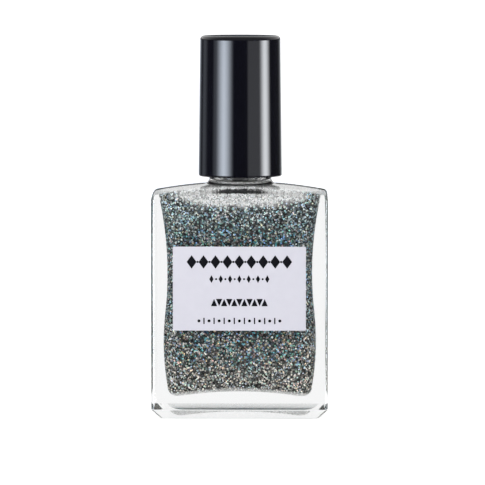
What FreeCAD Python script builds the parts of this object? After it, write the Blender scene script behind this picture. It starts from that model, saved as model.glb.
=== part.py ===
import FreeCAD, Part
import math
import os
import re

import Sketcher

# A square glass bottle of nail lacquer with a screw closure that carries the brush.
# Millimetres, +Z up, the origin at the middle of the foot, the label on the -Y side.

DIMENSIONS = [
    # alias, value, what it is
    ("bottle_width", "35.0", "glass, across the front"),
    ("bottle_depth", "21.0", "glass, front to back"),
    ("corner_radius", "0.8", "upright edges of the glass"),
    ("foot_bevel", "1.9", "bevel round the foot"),
    ("foot_corner", "0.6", "corner radius of the foot's face"),
    ("foot_ease", "0.4", "rounding of the bevel's two edges"),
    ("shoulder_radius", "0.8", "edges round the shoulder"),
    ("crown_height", "46.6", "top of the domed shoulder, on the neck's axis"),
    ("dome_radius", "93.0", "sphere that the shoulder follows"),
    ("punt_width", "27.0", "shallow recess under the foot"),
    ("punt_depth", "13.0", "the recess, front to back"),
    ("punt_rise", "0.35", "how far the recess is set in"),
    ("punt_corner", "3.0", "corner radius of the recess"),
    ("cavity_depth", "14.7", "hollow, front to back"),
    ("cavity_top_half", "16.6", "half width that the side wall reaches at the crown's height"),
    ("cavity_bend_half", "14.8", "half width where the side wall's curve turns over"),
    ("cavity_bend_level", "21.0", "height of that turn"),
    ("cavity_foot_half", "13.85", "half width at the floor, before its rounding"),
    ("cavity_foot_level", "4.1", "height of the floor at the sides"),
    ("cavity_side_radius", "70.0", "curve of the upper side wall"),
    ("cavity_heel_radius", "51.0", "curve of the lower side wall"),
    ("cavity_floor_radius", "80.0", "curve of the arched floor"),
    ("cavity_ceiling", "45.2", "top of the hollow, on the neck's axis"),
    ("ceiling_radius", "130.0", "sphere that the ceiling follows"),
    ("cavity_upright_radius", "3.4", "upright edges of the hollow"),
    ("cavity_edge_radius", "2.2", "edges round the floor"),
    ("cavity_brow_radius", "1.2", "edges round the ceiling"),
    ("collar_radius", "6.2", "plain foot of the neck"),
    ("collar_top", "48.6", "height where the collar steps in"),
    ("flare_radius", "1.0", "sweep of the collar into the shoulder"),
    ("neck_radius", "5.7", "neck, at the root of its thread"),
    ("rim_height", "57.8", "sealing rim of the neck"),
    ("rim_radius", "0.5", "rounding of the rim"),
    ("bore_radius", "3.8", "hole through the neck"),
    ("bore_flare", "1.0", "rounding where the bore opens into the hollow"),
    ("thread_pitch", "2.1167", "twelve threads to the inch"),
    ("thread_depth", "0.72", "height of the glass thread"),
    ("thread_start", "52.2", "lowest middle of the glass thread"),
    ("thread_turns", "1.75", "length of the glass thread"),
    ("thread_root", "1.15", "width of the thread at its root"),
    ("thread_crest", "0.45", "width of the thread at its crest"),
    ("unscrew_turns", "1.5", "turns that free the cap"),
    ("cap_thread_turns", "1.0", "length of the thread in the cap"),
    ("thread_bias", "0.22", "how far the cap's thread is drawn up against the glass thread"),
    ("skirt_bore", "6.62", "inner cap, at the root of its thread"),
    ("skirt_radius", "7.20", "inner cap outside, between its grip ribs"),
    ("skirt_foot", "48.9", "lower edge of the inner cap"),
    ("inner_cap_top", "61.0", "top face of the inner cap"),
    ("grip_rib_height", "0.22", "grip ribs round the inner cap"),
    ("grip_rib_width", "0.7", "width of a grip rib"),
    ("grip_rib_count", "24", "number of grip ribs"),
    ("liner_radius", "6.1", "liner washer outside"),
    ("liner_bore", "2.3", "liner washer hole"),
    ("liner_thickness", "0.8", "liner washer thickness"),
    ("seat_gap", "0.08", "play round the liner and the flange"),
    ("flange_radius", "5.6", "flange at the top of the brush stem"),
    ("flange_thickness", "1.2", "thickness of that flange"),
    ("stem_top_radius", "1.75", "stem just under its flange"),
    ("stem_foot_radius", "1.4", "stem just above its socket"),
    ("socket_radius", "1.7", "socket that holds the bristles"),
    ("socket_top", "25.2", "top of the socket"),
    ("socket_foot", "20.2", "lower end of the stem"),
    ("socket_bore", "1.2", "hole in the socket"),
    ("socket_bore_top", "24.4", "end of that hole"),
    ("staple_height", "1.1", "anchor plate, upright"),
    ("staple_thickness", "0.3", "anchor plate thickness"),
    ("staple_width", "2.2", "anchor plate, across the socket"),
    ("bristle_tip", "7.0", "free end of the bristles"),
    ("bristle_spread", "1.55", "tuft radius at its fullest"),
    ("bristle_full_level", "10.0", "height of the fullest place"),
    ("cap_foot", "47.8", "lower edge of the overcap"),
    ("cap_top", "75.8", "overall height"),
    ("cap_foot_radius", "8.33", "overcap outside, at its lower edge"),
    ("cap_top_radius", "8.0", "overcap outside, at its top"),
    ("cap_bore", "7.44", "overcap inside, round the inner cap"),
    ("cap_upper_bore", "7.05", "overcap inside, above the inner cap"),
    ("cap_roof", "1.2", "thickness of the overcap's top"),
    ("cap_edge_radius", "0.8", "rounding of the overcap's top edge"),
    ("cap_lip_radius", "0.4", "rounding of the overcap's lower edge"),
    ("cap_web_count", "6", "webs inside the overcap that bear on the inner cap"),
    ("cap_web_thickness", "0.8", "thickness of a web"),
    ("cap_web_reach", "3.0", "how far a web reaches towards the axis"),
    ("label_width", "26.3", "label"),
    ("label_height", "16.65", "label"),
    ("label_foot", "17.75", "lower edge of the label"),
    ("label_thickness", "0.1", "label paper"),
    ("label_corner", "0.25", "corner radius of the label"),
    ("well_gap", "0.3", "lacquer's clearance round the brush"),
    ("ball_radius", "2.0", "mixing ball"),
    ("ball_place", "11.2", "distance of a ball from the middle"),
    ("ball_stagger", "1.5", "how far the balls lie in front of and behind the middle"),
    ("ball_gap", "0.06", "play between a ball and what it lies on"),
    ("ball_room", "0.2", "lacquer's clearance round a ball"),
    ("neck_root", "1.5", "how far the neck's form starts inside the shoulder"),
    ("mouth_drop", "0.15", "how far the bore's flare starts below the ceiling"),
    ("rooting", "0.3", "how far a thread, rib or web is rooted in its wall"),
    ("face_gap", "0.02", "play between faces that bear on each other"),
    ("socket_lead", "0.2", "taper at the socket's end, across"),
    ("socket_lead_height", "0.6", "that taper, upwards"),
    ("socket_shoulder", "0.4", "slope from the socket to the stem"),
    ("flange_bevel", "0.3", "bevel on the flange's edge"),
    ("staple_depth", "0.5", "anchor plate's distance from the end of its hole"),
    ("tuft_play", "0.01", "play round the tuft in its hole"),
    ("tip_share", "0.75", "tuft radius at its end, as a share of its fullest"),
    ("tip_round", "0.35", "height of the tuft's rounded end"),
    ("skirt_lead", "0.25", "widening at the skirt's mouth"),
    ("skirt_lead_height", "0.5", "height of that widening"),
    ("closure_bevel", "0.4", "bevel on the inner cap's top edge"),
    ("grip_rib_foot", "0.6", "start of the ribs above the skirt's edge"),
    ("grip_rib_stop", "0.8", "end of the ribs below the inner cap's top"),
    ("spare", "1.0", "material beyond what a later cut takes away"),
]

SHEET = "Dims"
FULL_TURN = 360
CLOSE = 0.02
TOUCHING = 1e-6


def make_sheet(doc):
    """The sheet of driving dimensions."""
    sheet = doc.addObject("Spreadsheet::Sheet", SHEET)
    for row, (alias, value, meaning) in enumerate(DIMENSIONS, start=1):
        sheet.set(f"A{row}", meaning)
        sheet.set(f"B{row}", value)
        sheet.setAlias(f"B{row}", alias)
    doc.recompute()
    return sheet


def dim(text):
    """An expression with each alias of the sheet written out in full."""
    known = {alias for alias, _, _ in DIMENSIONS}

    def in_full(word):
        return f"{SHEET}.{word[0]}" if word[0] in known else word[0]

    return re.sub(r"[A-Za-z_]+", in_full, text)


def value_of(doc, text):
    """What such an expression comes to now."""
    return float(doc.getObject(SHEET).evalExpression(dim(text)))


def bind(thing, prop, text):
    """Ties a property to the sheet."""
    thing.setExpression(prop, dim(text))


def origin_feature(body, role):
    """A body's own origin plane or axis."""
    return next(f for f in body.Origin.OriginFeatures if f.Role == role)


def new_body(doc, name):
    """An empty body with a label of its own."""
    body = doc.addObject("PartDesign::Body", name)
    body.Label = name
    return body


def new_sketch(body, name, plane="XZ_Plane", level=None):
    """An empty sketch on one of the body's planes, or at a level above it."""
    sketch = body.newObject("Sketcher::SketchObject", name)
    sketch.AttachmentSupport = [(origin_feature(body, plane), "")]
    sketch.MapMode = "FlatFace"
    if level:
        bind(sketch, "AttachmentOffset.Base.z", level)
    return sketch


def pin_point(sketch, geometry, end, across, up):
    """Fixes one end of a piece of geometry at a place given by two expressions."""
    for kind, text in (("DistanceX", across), ("DistanceY", up)):
        now = value_of(sketch.Document, text)
        index = sketch.addConstraint(Sketcher.Constraint(kind, -1, 1, geometry, end, now))
        bind(sketch, f"Constraints[{index}]", text)


def middle_of_arc(start, end, radius, turn):
    """The middle point of the short arc between two points that turns left (1) or right (-1)."""
    chord = end - start
    half = chord.Length / 2
    left = FreeCAD.Vector(-chord.y, chord.x, 0).normalize()
    bulge = radius - math.sqrt(radius**2 - half**2)
    return (start + end) / 2 - left * bulge * turn


def draw_outline(sketch, points):
    """A closed outline through points given as pairs of expressions.

    A point with a third and fourth item starts an arc: its radius, and 1 to turn left or -1 right.
    """
    doc = sketch.Document
    places = [FreeCAD.Vector(value_of(doc, p[0]), value_of(doc, p[1]), 0) for p in points]
    ends = []
    for i, point in enumerate(points):
        start, end = places[i], places[(i + 1) % len(places)]
        if len(point) == 2:
            index = sketch.addGeometry(Part.LineSegment(start, end), False)
            ends.append((index, 1, 2))
            continue
        radius = value_of(doc, point[2])
        middle = middle_of_arc(start, end, radius, point[3])
        index = sketch.addGeometry(Part.Arc(start, middle, end), False)
        ends.append((index, 1, 2) if point[3] > 0 else (index, 2, 1))
        fixed = sketch.addConstraint(Sketcher.Constraint("Radius", index, radius))
        bind(sketch, f"Constraints[{fixed}]", point[2])
    for i, (index, first, last) in enumerate(ends):
        following, its_first, _ = ends[(i + 1) % len(ends)]
        meeting = Sketcher.Constraint("Coincident", index, last, following, its_first)
        sketch.addConstraint(meeting)
        pin_point(sketch, index, first, points[i][0], points[i][1])


def rounded_rectangle(width, depth, radius):
    """The outline of a rectangle with rounded corners, about the origin."""
    x, y = f"({width})/2", f"({depth})/2"
    inner_x, inner_y = f"({x} - {radius})", f"({y} - {radius})"
    return [
        (inner_x, f"-{y}", radius, 1),
        (x, f"-{inner_y}"),
        (x, inner_y, radius, 1),
        (inner_x, y),
        (f"-{inner_x}", y, radius, 1),
        (f"-{x}", inner_y),
        (f"-{x}", f"-{inner_y}", radius, 1),
        (f"-{inner_x}", f"-{y}"),
    ]


def draw_rectangle(sketch, width, height, foot=None):
    """A rectangle centred on the upright axis, and on the other one unless it has a foot."""
    low = foot or f"-({height})/2"
    high = f"{foot}+({height})" if foot else f"({height})/2"
    half = f"({width})/2"
    corners = [(f"-{half}", low), (half, low), (half, high), (f"-{half}", high)]
    return draw_outline(sketch, corners)


def add_pad(body, name, sketch, length, middle=False, backwards=False):
    """A pad, one way or to both sides of its sketch."""
    pad = body.newObject("PartDesign::Pad", name)
    pad.Profile = sketch
    bind(pad, "Length", length)
    pad.SideType = "Symmetric" if middle else "One side"
    pad.Reversed = backwards
    return pad


def add_turned(body, kind, name, sketch):
    """A revolution or a groove about the neck's axis."""
    turned = body.newObject(f"PartDesign::{kind}", name)
    turned.Profile = sketch
    turned.ReferenceAxis = (sketch, ["V_Axis"])
    turned.Angle = FULL_TURN
    return turned


def edges_where(shape, test):
    """Names of the edges that pass a test."""
    return [f"Edge{i}" for i, edge in enumerate(shape.Edges, start=1) if test(edge)]


def add_rounding(body, name, test, radius):
    """A fillet on the edges of the body's last feature that pass a test."""
    body.Document.recompute()
    last = body.Tip
    fillet = body.newObject("PartDesign::Fillet", name)
    fillet.Base = (last, edges_where(last.Shape, test))
    bind(fillet, "Radius", radius)
    return fillet


def is_between(low, high):
    """A test for edges that lie wholly between two heights."""
    return lambda edge: low <= edge.BoundBox.ZMin and edge.BoundBox.ZMax <= high


def is_upright(edge):
    """An edge that runs mostly upwards."""
    box = edge.BoundBox
    return box.ZLength > 2 * max(box.XLength, box.YLength)


def is_level_at(heights):
    """A test for level edges at given heights."""

    def test(edge):
        box = edge.BoundBox
        near = any(abs(box.ZMin - height) < TOUCHING for height in heights)
        return near and box.ZLength < TOUCHING

    return test


def is_ring_at(radius, low, high):
    """A test for rings of one radius about the neck's axis, between two heights."""

    def test(edge):
        box = edge.BoundBox
        spans = abs(box.XMax - radius) < CLOSE and abs(box.XMin + radius) < CLOSE
        round_too = abs(box.YMax - radius) < CLOSE
        return spans and round_too and low - TOUCHING <= box.ZMin and box.ZMax <= high + TOUCHING

    return test


def add_helix(body, name, plane, corners, pitch, turns):
    """A right-hand thread whose section is an outline on an upright plane."""
    sketch = new_sketch(body, f"{name}Section", plane)
    draw_outline(sketch, corners)
    body.Document.recompute()
    helix = body.newObject("PartDesign::AdditiveHelix", name)
    helix.Profile = sketch
    helix.ReferenceAxis = (sketch, ["V_Axis"])
    helix.Mode = "pitch-turns-angle"
    bind(helix, "Pitch", pitch)
    bind(helix, "Turns", turns)
    helix.Angle = 0
    helix.LeftHanded = False
    helix.Reversed = False
    return helix


def turned_body(doc, name, outline):
    """A body turned about the neck's axis from half its section."""
    body = new_body(doc, name)
    sketch = new_sketch(body, f"{name}_section")
    draw_outline(sketch, outline)
    doc.recompute()
    add_turned(body, "Revolution", f"{name}_turned", sketch)
    doc.recompute()
    return body


def dome_drop(radius, reach):
    """How far a sphere on the neck's axis falls at a distance from it."""
    return f"{radius} - sqrt({radius}^2 - ({reach})^2)"


def cut_dome(body, name, crown, radius):
    """Grooves the top of a body to a sphere on the neck's axis."""
    reach = "bottle_width"
    above = "rim_height + spare"
    sketch = new_sketch(body, f"{name}Section")
    outline = [
        ("0", above),
        ("0", crown),
        (reach, f"{crown} - ({dome_drop(radius, reach)})"),
        (reach, above),
    ]
    outline[1] = (*outline[1], radius, -1)
    draw_outline(sketch, outline)
    body.Document.recompute()
    add_turned(body, "Groove", name, sketch)


def make_cavity(doc):
    """The hollow of the glass: waisted sides, an arched floor and a domed ceiling."""
    body = new_body(doc, "CavityForm")
    sketch = new_sketch(body, "CavityFront")
    outline = [
        ("-cavity_foot_half", "cavity_foot_level", "cavity_floor_radius", -1),
        ("cavity_foot_half", "cavity_foot_level", "cavity_heel_radius", 1),
        ("cavity_bend_half", "cavity_bend_level", "cavity_side_radius", -1),
        ("cavity_top_half", "crown_height"),
        ("-cavity_top_half", "crown_height", "cavity_side_radius", -1),
        ("-cavity_bend_half", "cavity_bend_level", "cavity_heel_radius", 1),
    ]
    draw_outline(sketch, outline)
    doc.recompute()
    add_pad(body, "CavityBlock", sketch, "cavity_depth", middle=True)
    doc.recompute()
    cut_dome(body, "CavityDome", "cavity_ceiling", "ceiling_radius")
    add_rounding(body, "CavityUprights", is_upright, "cavity_upright_radius")
    low = is_between(0, value_of(doc, "cavity_foot_level + cavity_edge_radius"))
    add_rounding(body, "CavityFloorEdge", low, "cavity_edge_radius")
    brow = f"cavity_ceiling - ({dome_drop('ceiling_radius', 'bottle_width')})"
    high = is_between(value_of(doc, brow), value_of(doc, "rim_height"))
    add_rounding(body, "CavityCeilingEdge", high, "cavity_brow_radius")
    doc.recompute()
    return body


def make_glass_form(doc):
    """The outside of the glass with its neck, thread and bore, still without its hollow."""
    body = new_body(doc, "GlassForm")
    foot = new_sketch(body, "FootPlan", "XY_Plane")
    inset = "bottle_width - 2*foot_bevel", "bottle_depth - 2*foot_bevel"
    draw_outline(foot, rounded_rectangle(*inset, "foot_corner"))
    plan = new_sketch(body, "GlassPlan", "XY_Plane", "foot_bevel")
    draw_outline(plan, rounded_rectangle("bottle_width", "bottle_depth", "corner_radius"))
    doc.recompute()
    bevel = body.newObject("PartDesign::AdditiveLoft", "FootBevel")
    bevel.Profile = foot
    bevel.Sections = [plan]
    bevel.Ruled = True
    doc.recompute()
    add_pad(body, "GlassBlock", plan, "crown_height + spare - foot_bevel")
    doc.recompute()
    cut_dome(body, "GlassDome", "crown_height", "dome_radius")
    foot_edges = is_level_at((0, value_of(doc, "foot_bevel")))
    add_rounding(body, "FootEdges", foot_edges, "foot_ease")
    brow = f"crown_height - ({dome_drop('dome_radius', 'bottle_width')})"
    shoulder = is_between(value_of(doc, brow), value_of(doc, "crown_height"))
    add_rounding(body, "ShoulderEdge", shoulder, "shoulder_radius")
    doc.recompute()
    add_punt(body)
    add_neck(body)
    return body


def add_punt(body):
    """The shallow recess under the foot."""
    sketch = new_sketch(body, "PuntPlan", "XY_Plane")
    draw_rectangle(sketch, "punt_width", "punt_depth")
    body.Document.recompute()
    pocket = body.newObject("PartDesign::Pocket", "Punt")
    pocket.Profile = sketch
    bind(pocket, "Length", "punt_rise")
    pocket.Reversed = True
    body.Document.recompute()
    half_width = value_of(body.Document, "punt_width/2")
    rise = value_of(body.Document, "punt_rise")

    def is_punt_corner(edge):
        box = edge.BoundBox
        upright = box.XLength < TOUCHING and box.YLength < TOUCHING
        on_side = abs(abs(box.XMin) - half_width) < TOUCHING
        return upright and on_side and abs(box.ZLength - rise) < TOUCHING

    add_rounding(body, "PuntCorners", is_punt_corner, "punt_corner")
    body.Document.recompute()


def add_neck(body):
    """The collar, the neck, its thread and its bore."""
    doc = body.Document
    sketch = new_sketch(body, "NeckSection")
    root = "crown_height - neck_root"
    outline = [
        ("0", root),
        ("collar_radius", root),
        ("collar_radius", "collar_top"),
        ("neck_radius", "collar_top + collar_radius - neck_radius"),
        ("neck_radius", "rim_height"),
        ("0", "rim_height"),
    ]
    draw_outline(sketch, outline)
    doc.recompute()
    add_turned(body, "Revolution", "Neck", sketch)
    doc.recompute()
    crown = value_of(doc, "crown_height")
    flare = is_ring_at(value_of(doc, "collar_radius"), crown - 1, crown)
    add_rounding(body, "CollarFlare", flare, "flare_radius")
    rim = value_of(doc, "rim_height")
    add_rounding(body, "Rim", is_ring_at(value_of(doc, "neck_radius"), rim, rim), "rim_radius")
    doc.recompute()
    add_helix(body, "GlassThread", "XZ_Plane", glass_thread_section(), "thread_pitch", "thread_turns")
    doc.recompute()
    add_run_outs(body)
    add_bore(body)


def glass_thread_section():
    """The section of the neck's thread, rooted a little inside the neck."""
    inside = "neck_radius - rooting"
    crest = "neck_radius + thread_depth"
    return [
        (inside, "thread_start - thread_root/2"),
        ("neck_radius", "thread_start - thread_root/2"),
        (crest, "thread_start - thread_crest/2"),
        (crest, "thread_start + thread_crest/2"),
        ("neck_radius", "thread_start + thread_root/2"),
        (inside, "thread_start + thread_root/2"),
    ]


def add_run_outs(body):
    """Flats tangent to the neck, where the thread fades in and out over part of a turn."""
    doc = body.Document
    fade = "sqrt((neck_radius + thread_depth)^2 - neck_radius^2)"
    out = "neck_radius + 2*thread_depth"
    in_plan = [("neck_radius", "-1"), (out, "-1"), (out, fade), ("neck_radius", fade)]
    out_plan = [(f"-({fade})", f"-({out})"), ("1", f"-({out})"), ("1", "-neck_radius")]
    out_plan.append((f"-({fade})", "-neck_radius"))
    end = "thread_start + thread_pitch*thread_turns"
    for name, plan, middle in (("RunIn", in_plan, "thread_start"), ("RunOut", out_plan, end)):
        sketch = new_sketch(body, f"{name}Plan", "XY_Plane", f"{middle} + thread_root")
        draw_outline(sketch, plan)
        doc.recompute()
        pocket = body.newObject("PartDesign::Pocket", name)
        pocket.Profile = sketch
        bind(pocket, "Length", "2*thread_root")
        doc.recompute()


def add_bore(body):
    """The hole through the neck, which opens out into the hollow."""
    doc = body.Document
    sketch = new_sketch(body, "BoreSection")
    low = "cavity_ceiling - cavity_edge_radius - spare"
    high = "rim_height + spare"
    mouth = "cavity_ceiling - mouth_drop"
    outline = [
        ("0", low),
        ("bore_radius + bore_flare", low),
        ("bore_radius + bore_flare", mouth, "bore_flare", -1),
        ("bore_radius", f"{mouth} + bore_flare"),
        ("bore_radius", high),
        ("0", high),
    ]
    draw_outline(sketch, outline)
    doc.recompute()
    add_turned(body, "Groove", "Bore", sketch)
    doc.recompute()
    rim = value_of(doc, "rim_height")
    add_rounding(body, "BoreRim", is_ring_at(value_of(doc, "bore_radius"), rim, rim), "rim_radius")
    doc.recompute()


def add_cut(doc, name, base, tool):
    """One shape less another."""
    cut = doc.addObject("Part::Cut", name)
    cut.Base = base
    cut.Tool = tool
    cut.Refine = False
    return cut


def add_ball(doc, name, radius, side):
    """A ball on the arched floor, left (-1) or right (1) of the middle."""
    ball = doc.addObject("Part::Sphere", name)
    bind(ball, "Radius", radius)
    bind(ball, "Placement.Base.x", f"{side}*ball_place")
    bind(ball, "Placement.Base.y", f"{-side}*ball_stagger")
    slope = "sqrt(cavity_floor_radius^2 - ball_place^2)"
    edge = "sqrt(cavity_floor_radius^2 - cavity_foot_half^2)"
    floor = f"cavity_foot_level - {edge} + {slope}"
    lean = f"cavity_floor_radius/{slope}"
    bind(ball, "Placement.Base.z", f"{floor} + ball_radius*{lean} + ball_gap")
    return ball


def make_glass_bottle(doc, cavity):
    """The glass with its hollow."""
    return add_cut(doc, "glass_bottle", make_glass_form(doc), cavity)


def make_lacquer_fill(doc, cavity):
    """The lacquer: the hollow less the room of the brush and of the mixing balls."""
    well = doc.addObject("Part::Cylinder", "BrushWell")
    quarter_turn = FreeCAD.Rotation(FreeCAD.Vector(0, 0, 1), FULL_TURN / 4)
    well.Placement = FreeCAD.Placement(FreeCAD.Vector(), quarter_turn)
    bind(well, "Radius", "socket_radius + well_gap")
    bind(well, "Height", "crown_height")
    bind(well, "Placement.Base.z", "bristle_tip - well_gap")
    rest = add_cut(doc, "LacquerRoundBrush", cavity, well)
    room = "ball_radius + ball_room"
    rest = add_cut(doc, "LacquerPastLeftBall", rest, add_ball(doc, "LeftRoom", room, -1))
    return add_cut(doc, "lacquer_fill", rest, add_ball(doc, "RightRoom", room, 1))


def make_mixing_balls(doc):
    """The two steel balls that stir the glitter when the bottle is shaken."""
    left = add_ball(doc, "mixing_ball_left", "ball_radius", -1)
    right = add_ball(doc, "mixing_ball_right", "ball_radius", 1)
    return [left, right]


def make_front_label(doc):
    """The paper label, flat on the front of the glass."""
    body = new_body(doc, "front_label")
    sketch = new_sketch(body, "LabelFront")
    draw_rectangle(sketch, "label_width", "label_height", "label_foot")
    bind(sketch, "AttachmentOffset.Base.z", "bottle_depth/2")
    doc.recompute()
    add_pad(body, "LabelPaper", sketch, "label_thickness")
    doc.recompute()

    def through_paper(edge):
        return edge.BoundBox.YLength > 0 and edge.BoundBox.DiagonalLength < 1

    add_rounding(body, "LabelCorners", through_paper, "label_corner")
    doc.recompute()
    return body


def make_liner_washer(doc):
    """The soft ring between the inner cap and the glass rim."""
    foot = "rim_height + face_gap"
    top = f"{foot} + liner_thickness"
    outline = [
        ("liner_bore", foot),
        ("liner_radius", foot),
        ("liner_radius", top),
        ("liner_bore", top),
    ]
    return turned_body(doc, "liner_washer", outline)


FLANGE_FOOT = "rim_height + liner_thickness + 2*face_gap"
FLANGE_TOP = f"{FLANGE_FOOT} + flange_thickness"


def make_brush_stem(doc):
    """The wand: a flange, a tapering stem and a socket for the bristles."""
    outline = [
        ("0", "socket_bore_top"),
        ("socket_bore", "socket_bore_top"),
        ("socket_bore", "socket_foot"),
        ("socket_radius - socket_lead", "socket_foot"),
        ("socket_radius", "socket_foot + socket_lead_height"),
        ("socket_radius", "socket_top - socket_shoulder"),
        ("stem_foot_radius", "socket_top"),
        ("stem_top_radius", FLANGE_FOOT),
        ("flange_radius", FLANGE_FOOT),
        ("flange_radius", f"{FLANGE_TOP} - flange_bevel"),
        ("flange_radius - flange_bevel", FLANGE_TOP),
        ("0", FLANGE_TOP),
    ]
    return turned_body(doc, "brush_stem", outline)


def add_staple_block(doc, name, play):
    """The upright anchor plate across the socket, with some play all round."""
    block = doc.addObject("Part::Box", name)
    bind(block, "Length", f"staple_width + 2*({play})")
    bind(block, "Width", f"staple_thickness + 2*({play})")
    bind(block, "Height", f"staple_height + 2*({play})")
    bind(block, "Placement.Base.x", f"-staple_width/2 - ({play})")
    bind(block, "Placement.Base.y", f"-staple_thickness/2 - ({play})")
    foot = "socket_bore_top - staple_depth - staple_height"
    bind(block, "Placement.Base.z", f"{foot} - ({play})")
    return block


def make_bristles(doc):
    """The tuft, folded over its anchor in the socket and spreading below it."""
    play = "tuft_play"
    tuft = turned_body(
        doc,
        "TuftForm",
        [
            ("0", "bristle_tip"),
            ("tip_share*bristle_spread", "bristle_tip + tip_round"),
            ("bristle_spread", "bristle_full_level"),
            (f"socket_bore - {play}", f"socket_foot - {play}"),
            (f"socket_bore - {play}", f"socket_bore_top - {play}"),
            ("0", f"socket_bore_top - {play}"),
        ],
    )
    return add_cut(doc, "bristles", tuft, add_staple_block(doc, "StapleRoom", play))


def make_inner_cap(doc):
    """The threaded closure: a ribbed skirt, seats for the liner and the flange, and a top."""
    seat = "liner_radius + seat_gap"
    socket = "flange_radius + seat_gap"
    liner_top = "rim_height + face_gap + liner_thickness"
    outline = [
        ("skirt_bore + skirt_lead", "skirt_foot"),
        ("skirt_radius", "skirt_foot"),
        ("skirt_radius", "inner_cap_top - closure_bevel"),
        ("skirt_radius - closure_bevel", "inner_cap_top"),
        ("0", "inner_cap_top"),
        ("0", f"{FLANGE_TOP} + face_gap"),
        (socket, f"{FLANGE_TOP} + face_gap"),
        (socket, f"{liner_top} + face_gap"),
        (seat, f"{liner_top} + face_gap"),
        (seat, "rim_height - rim_radius"),
        ("skirt_bore", f"rim_height - rim_radius - (skirt_bore - ({seat}))"),
        ("skirt_bore", "skirt_foot + skirt_lead_height"),
    ]
    body = turned_body(doc, "inner_cap", outline)
    section = cap_thread_section()
    add_helix(body, "CapThread", "YZ_Plane", section, "thread_pitch", "cap_thread_turns")
    doc.recompute()
    add_grip_ribs(body)
    return body


def cap_thread_section():
    """The section of the cap's thread, half a pitch below the glass thread, free after the turns."""
    middle = (
        "thread_start + (thread_turns - unscrew_turns)*thread_pitch"
        " - thread_pitch/2 + thread_bias"
    )
    inside = "skirt_bore + rooting"
    crest = "skirt_bore - thread_depth"
    return [
        (inside, f"{middle} - thread_root/2"),
        (inside, f"{middle} + thread_root/2"),
        ("skirt_bore", f"{middle} + thread_root/2"),
        (crest, f"{middle} + thread_crest/2"),
        (crest, f"{middle} - thread_crest/2"),
        ("skirt_bore", f"{middle} - thread_root/2"),
    ]


def add_pattern(body, name, feature, count):
    """Repeats a feature evenly round the neck's axis."""
    pattern = body.newObject("PartDesign::PolarPattern", name)
    pattern.Originals = [feature]
    pattern.Axis = (origin_feature(body, "Z_Axis"), [""])
    pattern.Angle = FULL_TURN
    bind(pattern, "Occurrences", count)
    body.Tip = pattern
    body.Document.recompute()


def add_grip_ribs(body):
    """Upright ribs that the overcap is pressed over."""
    doc = body.Document
    sketch = new_sketch(body, "GripRibPlan", "XY_Plane", "skirt_foot + grip_rib_foot")
    half = "grip_rib_width/2"
    root = "skirt_radius - rooting"
    crest = "skirt_radius + grip_rib_height"
    outline = [
        (root, f"-{half}"),
        (crest, f"-{half}/2"),
        (crest, f"{half}/2"),
        (root, half),
    ]
    draw_outline(sketch, outline)
    doc.recompute()
    length = "inner_cap_top - grip_rib_stop - (skirt_foot + grip_rib_foot)"
    rib = add_pad(body, "GripRib", sketch, length)
    doc.recompute()
    add_pattern(body, "GripRibs", rib, "grip_rib_count")


def make_outer_cap(doc):
    """The overcap: a slightly tapered shell with a bore for the inner cap and webs above it."""
    roof = "cap_top - cap_roof"
    ledge = "inner_cap_top + face_gap"
    outline = [
        ("cap_bore", "cap_foot"),
        ("cap_foot_radius", "cap_foot"),
        ("cap_top_radius", "cap_top"),
        ("0", "cap_top"),
        ("0", roof),
        ("cap_upper_bore", roof),
        ("cap_upper_bore", ledge),
        ("cap_bore", ledge),
    ]
    body = turned_body(doc, "outer_cap", outline)
    top = value_of(doc, "cap_top")
    foot = value_of(doc, "cap_foot")
    brow = is_ring_at(value_of(doc, "cap_top_radius"), top, top)
    add_rounding(body, "CapBrow", brow, "cap_edge_radius")
    lip = is_ring_at(value_of(doc, "cap_foot_radius"), foot, foot)
    add_rounding(body, "CapLip", lip, "cap_lip_radius")
    doc.recompute()
    sketch = new_sketch(body, "CapWebPlan", "XY_Plane", ledge)
    inner = "cap_upper_bore - cap_web_reach"
    outer = "cap_upper_bore + rooting"
    half = "cap_web_thickness/2"
    draw_outline(sketch, [(inner, f"-{half}"), (outer, f"-{half}"), (outer, half), (inner, half)])
    doc.recompute()
    web = add_pad(body, "CapWeb", sketch, f"{roof} + rooting - ({ledge})")
    doc.recompute()
    add_pattern(body, "CapWebs", web, "cap_web_count")
    return body


def make_parts(doc):
    """Every sub-part, each a document object whose label is its name."""
    cavity = make_cavity(doc)
    parts = [
        make_glass_bottle(doc, cavity),
        make_lacquer_fill(doc, cavity),
        make_front_label(doc),
        make_outer_cap(doc),
        make_inner_cap(doc),
        make_liner_washer(doc),
        make_brush_stem(doc),
        add_staple_block(doc, "bristle_staple", "0"),
        make_bristles(doc),
    ]
    return parts + make_mixing_balls(doc)


def check(doc, parts):
    """Stops on a failed object or a bad shape."""
    failed = [o.Name for o in doc.Objects if {"Invalid", "Error"} & set(o.State)]
    if failed:
        raise RuntimeError(f"failed objects: {', '.join(failed)}")
    for part in parts:
        if part.Shape.isNull() or not part.Shape.isValid():
            raise RuntimeError(f"{part.Label} has no valid shape")
        if len(part.Shape.Solids) != 1:
            raise RuntimeError(f"{part.Label} isn't one solid")


def main():
    doc = FreeCAD.newDocument("NailPolishBottle")
    make_sheet(doc)
    parts = make_parts(doc)
    doc.recompute()
    check(doc, parts)
    os.makedirs("parts", exist_ok=True)
    for part in parts:
        part.Shape.exportStep(f"parts/{part.Label}.step")
        print(f"{part.Label}: {part.Shape.Volume:.2f} mm3")


main()
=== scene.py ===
import math
import random

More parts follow.
